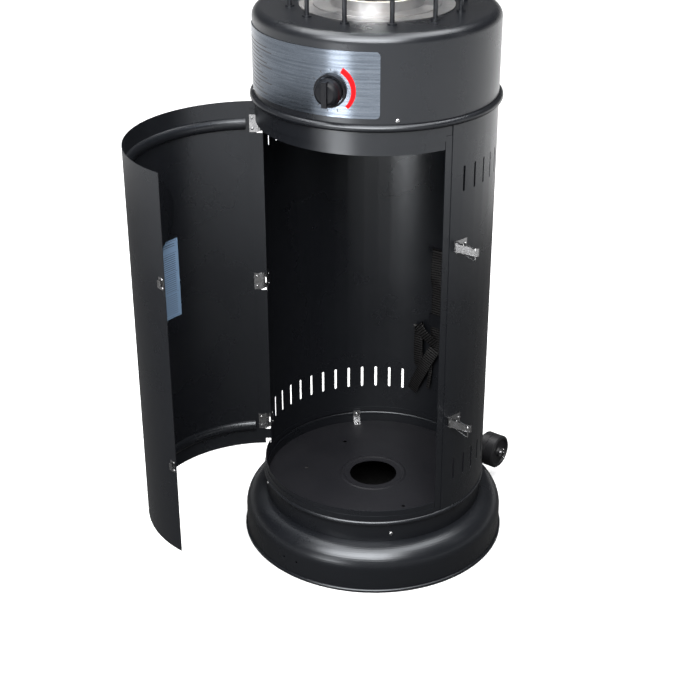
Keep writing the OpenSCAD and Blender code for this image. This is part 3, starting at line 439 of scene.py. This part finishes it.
def wrapped(across, up, outer, inner):
    """Lays two flat edge lines on the panel.

    Across over the radius is the angle round the panel from the knob, and up is the height above the knob.
    """
    turn = knob_turn + across[:, [0, 1, 1, 0]] / outer
    r = np.array([outer, outer, inner, inner])[None, :]
    return np.stack([r * np.sin(turn), -r * np.cos(turn), knob_height + up[:, [0, 1, 1, 0]]], axis=2)


def strips(name, runs, material, body):
    """A piece of thin closed strips, each made of four corner lines joined side by side and shut at both ends.

    A strip's faces are turned round where the volume that they shut in, the sum of a . (b x c) over its
    triangles, comes out negative.
    """
    points, faces, start = [], [], 0
    for run in runs:
        n = len(run)
        row = start + 4 * np.arange(n - 1)[:, None] + np.arange(4)[None, :]
        ahead = start + 4 * np.arange(n - 1)[:, None] + (np.arange(4)[None, :] + 1) % 4
        walls = np.stack([row, ahead, ahead + 4, row + 4], axis=2).reshape(-1, 4)
        ends = start + np.array([[3, 2, 1, 0], [4 * n - 4, 4 * n - 3, 4 * n - 2, 4 * n - 1]])
        shell = np.concatenate([walls, ends])
        flat = run.reshape(-1, 3)
        a, b, c, d = (flat[shell[:, k] - start] for k in range(4))
        inside = np.einsum("ij,ij->", a, np.cross(b, c)) + np.einsum("ij,ij->", a, np.cross(c, d))
        faces.append(shell if inside > 0 else shell[:, ::-1])
        points.append(flat)
        start += 4 * n
    mesh = bpy.data.meshes.new(name)
    mesh.from_pydata(np.concatenate(points).tolist(), [], np.concatenate(faces).tolist())
    mesh.materials.append(material)
    piece = bpy.data.objects.new(name, mesh)
    bpy.context.scene.collection.objects.link(piece)
    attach(piece, body)


panel_ink = coated("panel_ink", (0.012, 0.012, 0.013), (0.022, 0.022, 0.024), grain=900.0, rough=(0.35, 0.45))
panel_red = coated("panel_red", (0.42, 0.004, 0.006), (0.48, 0.007, 0.009), grain=900.0, rough=(0.3, 0.4),
                   Specular_IOR_Level=0.04)
rule_top, rule_end, rule_apart, rule_thick = 1.000, 0.918, 0.0066, 0.0018
rule_left, rule_right, rule_longer = -47.0, -30.0, 4.0
panel_runs = []
for k, height in enumerate(np.arange(rule_top, rule_end, -rule_apart)):
    panel_runs.append(round_strip(rule_left, rule_right + rule_longer * ((5 * k + 2) % 4),
                                  height - rule_thick, height, ink_face, ink_back))
tick_near, tick_far, tick_half = 0.0318, 0.0362, 0.0006
along = np.array([tick_near, tick_far])[:, None]
side = np.array([-tick_half, tick_half])[None, :]
for tick in np.radians([-160.0, -130.0, -100.0, -70.0, 60.0, 90.0, 120.0, 150.0]):
    panel_runs.append(wrapped(along * math.cos(tick) - side * math.sin(tick),
                              along * math.sin(tick) + side * math.cos(tick), ink_face, ink_back))
strips("panel_rules", panel_runs, panel_ink, "heater")
# The red arc starts square under the knob and widens as the flame grows.
arc_first, arc_last, arc_steps = -44.0, 62.0, 48
arc_inner, arc_outer, arc_growth = 0.0346, 0.0410, 0.0035
sweep = np.radians(np.linspace(arc_first, arc_last, arc_steps))[:, None]
arc_far = arc_outer + arc_growth * (sweep - sweep[0]) / (sweep[-1] - sweep[0])
arc_span = np.concatenate([arc_inner + 0.0 * sweep, arc_far], axis=1)
strips("panel_red_arc", [wrapped(arc_span * np.cos(sweep), arc_span * np.sin(sweep), ink_face, ink_back)],
       panel_red, "heater")


# Plastic pieces and brackets.
# Knob, bezel, tilt switch, slider and wheels are black moulded plastic with a spark-eroded grain, a little
# finer on the knob than on the wheels. The brackets of the wheels and the strap are coated like the cabinet.
moulded_black = coated("moulded_black", (0.0035, 0.0037, 0.0045), (0.007, 0.0075, 0.009), grain=1600.0,
                       rough=(0.30, 0.40), Specular_IOR_Level=0.09)
wheel_black = coated("wheel_black", (0.007, 0.007, 0.008), (0.012, 0.012, 0.013), grain=900.0,
                     rough=(0.38, 0.5), Specular_IOR_Level=0.25)
dress(moulded_black, "control_knob", "knob_bezel", "tilt_switch", "strap_buckle")
dress(wheel_black, "left_wheel", "right_wheel")
dress(powder_coat, "wheel_bracket", "strap_bracket")


# Gas parts and burner.
# Turned brass for the valve, plug, inlet and thermocouple, and a ceramic body for the electrode.
# The rest is plain sheet and tube, dulled by heat.
raw_steel = plated("raw_steel", (0.42, 0.42, 0.43), (0.33, 0.32, 0.31), cloud=30.0, rough=(0.3, 0.5))
brass = plated("brass", (0.62, 0.42, 0.16), (0.50, 0.33, 0.12), cloud=90.0, rough=(0.22, 0.36))
ceramic = coated("ceramic", (0.74, 0.71, 0.64), (0.80, 0.78, 0.72), grain=800.0, rough=(0.18, 0.26))
dress(brass, "gas_valve", "gas_inlet", "valve_plug", "thermocouple")
dress(raw_steel, "valve_bracket", "burner_pipe", "burner_tray", "burner_head", "pilot_bracket",
      "tube_base_ring", "tube_top_ring")
dress(ceramic, "spark_electrode")


# Glass flame tube, its seals and the guard.
# Clear heat-proof glass in woven seals, held between two rings; black rods, rings, plate and cap round it.
# The glass has a faint haze that changes from place to place.
seal_weave = coated("seal_weave", (0.50, 0.47, 0.40), (0.66, 0.63, 0.55), grain=500.0, rough=(0.8, 0.95))
dress(seal_weave, "tube_seals")
glass, pane = blank("flame_glass")
pane_shader = pane.nodes.new("ShaderNodeBsdfPrincipled")
pane_shader.inputs["Base Color"].default_value = (0.94, 0.97, 0.97, 1.0)
pane_shader.inputs["Transmission Weight"].default_value = 1.0
pane_shader.inputs["IOR"].default_value = 1.47
pane_haze = noise(pane, object_place(pane), scale=14.0, detail=3.0)
pane.links.new(spread(pane, pane_haze, 0.01, 0.05), pane_shader.inputs["Roughness"])
show(pane, pane_shader)
dress(glass, "glass_tube")
dress(powder_coat, "guard_rods", "guard_rings", "top_plate", "reflector_cap")


# Door.
# Rolled sheet with a hem, welded stiffeners and a pressed round dish, coated like the cabinet.
# It stands open on three hinges at the left of the opening.
dress(powder_coat, "door_panel", "door_stiffeners", "door_dish")


# Plain notice plate on the inside of the door.
# A thin printed film in grey blue. Its print is left out, so plain ruled lines stand in for it.
# The lines are placed with the door shut and then turned with it.
open_half = math.radians(68.3)
door_stands = math.radians(-74.5)
hinge_r = 0.2195
plate_face = 0.21375
plate_back = plate_face - 0.00006
print_film = coated("print_film", (0.13, 0.20, 0.30), (0.155, 0.23, 0.335), grain=400.0, rough=(0.3, 0.38),
                    Specular_IOR_Level=0.3)
dress(print_film, "door_plate")


def swung_open(points):
    """Turns points that are given with the door shut about the hinge line to where the door stands."""
    hinge_line = hinge_r * np.array([-math.sin(open_half), -math.cos(open_half)])
    cos, sin = math.cos(door_stands), math.sin(door_stands)
    points[..., :2] = (points[..., :2] - hinge_line) @ np.array([[cos, -sin], [sin, cos]]).T + hinge_line
    return points


frame_heights = [(0.6165, 0.6172), (0.4672, 0.4679), (0.5935, 0.5941), (0.5560, 0.5566), (0.5150, 0.5156)]
plate_lines = [(-22.0, 1.0, low, high) for low, high in frame_heights]
print_left, print_right, print_shorter = -21.0, -3.0, 5.5
print_apart, print_thick = 0.0042, 0.0011
for upper, lower in [(0.6120, 0.6040), (0.5900, 0.5600), (0.5530, 0.5190), (0.5110, 0.4720)]:
    for k, height in enumerate(np.arange(upper, lower, -print_apart)):
        plate_lines.append((print_left, print_right - print_shorter * ((7 * k + 3) % 4) / 3,
                            height - print_thick, height))
ink = coated("ink", (0.012, 0.014, 0.018), (0.022, 0.025, 0.031), grain=900.0, rough=(0.4, 0.5))
strips("plate_rules", [swung_open(round_strip(*line, plate_face, plate_back)) for line in plate_lines],
       ink, "door")


# Webbing that holds the gas bottle.
# Black polyester strap, 25 mm wide, hung over the bracket's bar and bunched in loose folds under its slider.
# It is woven flat with a raised rib across it every few millimetres, and its ends are cut square and sealed.
strap_turn = math.radians(178.5)
strap_r = 0.21185
strap_z = 0.515
strap_hold = np.array([strap_r * math.sin(strap_turn), -strap_r * math.cos(strap_turn), strap_z])
strap_axes = np.array([
    [math.cos(strap_turn), math.sin(strap_turn), 0.0],
    [0.0, 0.0, 1.0],
    [-math.sin(strap_turn), math.cos(strap_turn), 0.0],
])
millimetre = 0.001
rib_pitch = 0.0052
rib_low = 0.45
rib_power = 0.7
row_apart = 0.00052
sealed_end = 0.0006
curve_steps = 1200
around_steps = 28
edge_power = 6.0
face_power = 2.6


def smooth_line(knots, steps):
    """A Catmull-Rom curve through knots.

    Between two knots it is the cubic whose slope at each is half the chord between that knot's neighbours.
    """
    knots = np.array(knots, float)
    padded = np.concatenate([[2 * knots[0] - knots[1]], knots, [2 * knots[-1] - knots[-2]]])
    place = np.linspace(0.0, len(knots) - 1.0, steps)
    k = np.minimum(place.astype(int), len(knots) - 2)
    t = (place - k)[:, None]
    a, b, c, d = (padded[k + i] for i in range(4))
    return 0.5 * (2 * b + (c - a) * t + (2 * a - 5 * b + 4 * c - d) * t**2 + (3 * b - a - 3 * c + d) * t**3)


def resampled(line, far, s):
    """A line's points at the distances s along it, by straight steps between those at the distances far."""
    return np.stack([np.interp(s, far, line[:, k]) for k in range(3)], axis=1)


def strap_length(knots, sides, width, thick, cup=0.0):
    """One length of strap, as points, blocks of faces and (along, across) for each point.

    Its middle line is a smooth curve through the knots (millimetres in the bracket's frame: across, up, out from
    the wall), evenly spaced. The section is a superellipse squared to the line, |x/a|^6 + |y/b|^2.6 = 1, dished by
    cup times x squared. Its thickness b swells by |sin(pi s / pitch)|^0.7 along the line, which makes the ribs.
    """
    dense = smooth_line(knots, curve_steps) * millimetre
    far = np.concatenate([[0.0], np.cumsum(np.linalg.norm(np.diff(dense, axis=0), axis=1))])
    rows = int(far[-1] / row_apart)
    s = np.linspace(0.0, far[-1], rows)
    line = resampled(dense, far, s)
    side = resampled(smooth_line(sides, curve_steps), far, s)
    ahead = np.gradient(line, axis=0)
    ahead /= np.linalg.norm(ahead, axis=1)[:, None]
    side -= (side * ahead).sum(axis=1)[:, None] * ahead
    side /= np.linalg.norm(side, axis=1)[:, None]
    face = np.cross(ahead, side)
    v = np.linspace(0.0, 2 * math.pi, around_steps, endpoint=False)
    x = 0.5 * width * np.sign(np.cos(v)) * np.abs(np.cos(v)) ** (2 / edge_power)
    y = 0.5 * thick * np.sign(np.sin(v)) * np.abs(np.sin(v)) ** (2 / face_power)
    rib = rib_low + (1 - rib_low) * np.abs(np.sin(math.pi * s / rib_pitch)) ** rib_power
    shut = 0.5 + 0.5 * np.sqrt(np.clip(np.minimum(s, far[-1] - s) / sealed_end, 0.0, 1.0))
    height = y[None, :] * (rib * shut)[:, None] + cup * (x**2)[None, :]
    points = line[:, None, :] + x[None, :, None] * side[:, None, :] + height[:, :, None] * face[:, None, :]
    tips = np.stack([line[0], line[-1]])
    points = np.concatenate([points.reshape(-1, 3), tips]) @ strap_axes + strap_hold
    here = np.arange(around_steps)
    after = (here + 1) % around_steps
    starts = (np.arange(rows - 1) * around_steps)[:, None]
    row, beside = starts + here[None, :], starts + after[None, :]
    walls = np.stack([row, beside, beside + around_steps, row + around_steps], axis=2).reshape(-1, 4)
    count = rows * around_steps
    last = count - around_steps
    fan_low = np.stack([after, here, np.full(around_steps, count)], axis=1)
    fan_high = np.stack([here + last, after + last, np.full(around_steps, count + 1)], axis=1)
    flat = np.stack([np.repeat(s, around_steps), np.tile(x, rows)], axis=1)
    flat = np.concatenate([flat, [[0.0, 0.0], [far[-1], 0.0]]])
    return points, (walls, fan_low, fan_high), flat


strap_lengths = [
    # over the bar: the short sewn layer in front, then the long layer behind it
    strap_length(
        [(0, -74, 4.9), (0.6, -52, 6.6), (-0.6, -26, 7.2), (0, -4, 6.6), (0, 2.6, 6.2), (0, 4.4, 4.1),
         (0, 2.4, 2.1), (0, -20, 2.2), (0, -80, 2.9), (0, -150, 4.6), (0, -200, 5.4), (0, -226, 5.8)],
        [(1, 0, 0.05), (1, 0, 0.28), (1, 0, 0.22), (1, 0, 0), (1, 0, 0), (1, 0, 0), (1, 0, 0), (1, 0, 0),
         (1, 0, 0), (1, 0, 0), (1, 0, 0), (1, 0, 0)], width=0.025, thick=0.0016),
    # up from the free loop, folded over and down across the front
    strap_length(
        [(36.5, -262, 9.8), (36.9, -236, 12.6), (37.3, -208, 13.4), (37.6, -182, 12.0), (37.7, -171, 11.6),
         (37.2, -166.2, 12.8), (35.6, -166.0, 15.2), (30, -170.6, 17.4), (18, -182.6, 17.4), (7, -193.6, 12.4),
         (-2.5, -203, 6.8)],
        [(1, 0, 0), (1, 0, 0.06), (1, 0, 0), (1, 0, 0), (0.97, -0.12, 0), (0.92, -0.4, 0), (0.80, -0.6, 0),
         (0.70, -0.72, 0), (0.69, -0.73, 0), (0.68, -0.74, 0), (0.68, -0.74, 0)],
        width=0.021, thick=0.0016, cup=3.0),
    # the wide free end
    strap_length(
        [(1, -214, 7.4), (12, -237, 12.0), (27, -268, 14.0), (40, -295, 13.0), (53, -322, 10.4)],
        [(0.9, 0.43, 0.05), (0.9, 0.43, 0.12), (0.9, 0.43, 0), (0.9, 0.43, -0.12), (0.9, 0.43, -0.05)],
        width=0.025, thick=0.0016, cup=-4.0),
    # the thin second end
    strap_length(
        [(6, -212, 5.0), (8.4, -236, 4.6), (11, -262, 4.4), (13, -286, 5.2), (15, -308, 6.8)],
        [(1, 0.1, 0.2), (1, 0.1, 0.5), (1, 0.1, 0.3), (1, 0.1, 0), (1, 0.1, 0)], width=0.008, thick=0.0015),
]
strap_points, strap_blocks, strap_flats = zip(*strap_lengths)
strap_faces, strap_count = [], 0
for points, blocks in zip(strap_points, strap_blocks):
    for block in blocks:
        strap_faces += (block + strap_count).tolist()
    strap_count += len(points)
strap_mesh = bpy.data.meshes.new("bottle_webbing")
strap_mesh.from_pydata(np.concatenate(strap_points).tolist(), [], strap_faces)
corner_points = np.empty(len(strap_mesh.loops), int)
strap_mesh.loops.foreach_get("vertex_index", corner_points)
strap_map = strap_mesh.uv_layers.new(name="weave")
strap_map.data.foreach_set("uv", np.concatenate(strap_flats).astype(np.float32)[corner_points].ravel())
strap_mesh.polygons.foreach_set("use_smooth", np.ones(len(strap_mesh.polygons), bool))
outwards = bmesh.new()
outwards.from_mesh(strap_mesh)
bmesh.ops.recalc_face_normals(outwards, faces=outwards.faces)
outwards.to_mesh(strap_mesh)
outwards.free()

webbing, cloth = blank("webbing")
cloth_shader = cloth.nodes.new("ShaderNodeBsdfPrincipled")
cloth_map = cloth.nodes.new("ShaderNodeUVMap")
cloth_map.uv_map = "weave"
cloth_split = cloth.nodes.new("ShaderNodeSeparateXYZ")
cloth.links.new(cloth_map.outputs["UV"], cloth_split.inputs[0])
cloth_along, cloth_across = cloth_split.outputs["X"], cloth_split.outputs["Y"]
# Yarns: each crossing is a small bump, sin(along) times sin(across), brought between 0 and 1.
yarns_along, yarns_across = 5200.0, 6800.0
yarn_along = math_node(cloth, "SINE", math_node(cloth, "MULTIPLY", cloth_along, yarns_along))
yarn_across = math_node(cloth, "SINE", math_node(cloth, "MULTIPLY", cloth_across, yarns_across))
yarn = math_node(cloth, "MULTIPLY_ADD", math_node(cloth, "MULTIPLY", yarn_along, yarn_across), 0.5, 0.5)
# The gaps between the ribs are painted shade: there the colour falls to almost black and the gloss to none, following
# |sin| of the rib's phase.
rib_phase = math_node(cloth, "MULTIPLY", cloth_along, math.pi / rib_pitch)
rib_top = math_node(cloth, "ABSOLUTE", math_node(cloth, "SINE", rib_phase))
yarn_tone = blend_colour(cloth, yarn, (0.002, 0.0019, 0.002, 1.0), (0.010, 0.0095, 0.0098, 1.0))
fuzz = noise(cloth, object_place(cloth), scale=240.0, detail=3.0)
for value, socket in (
    (blend_colour(cloth, rib_top, (0.0005, 0.0005, 0.0006, 1.0), yarn_tone), "Base Color"),
    (bump(cloth, yarn, depth=0.00015, strength=0.8), "Normal"),
    (spread(cloth, fuzz, 0.38, 0.55), "Roughness"),
    (spread(cloth, rib_top, 0.0, 0.3), "Specular IOR Level"),
):
    cloth.links.new(value, cloth_shader.inputs[socket])
show(cloth, cloth_shader)
strap_mesh.materials.append(webbing)
strap = bpy.data.objects.new("bottle_webbing", strap_mesh)
bpy.context.scene.collection.objects.link(strap)
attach(strap, "heater")
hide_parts("retaining_strap")


bpy.context.scene.view_settings.view_transform = "Standard"
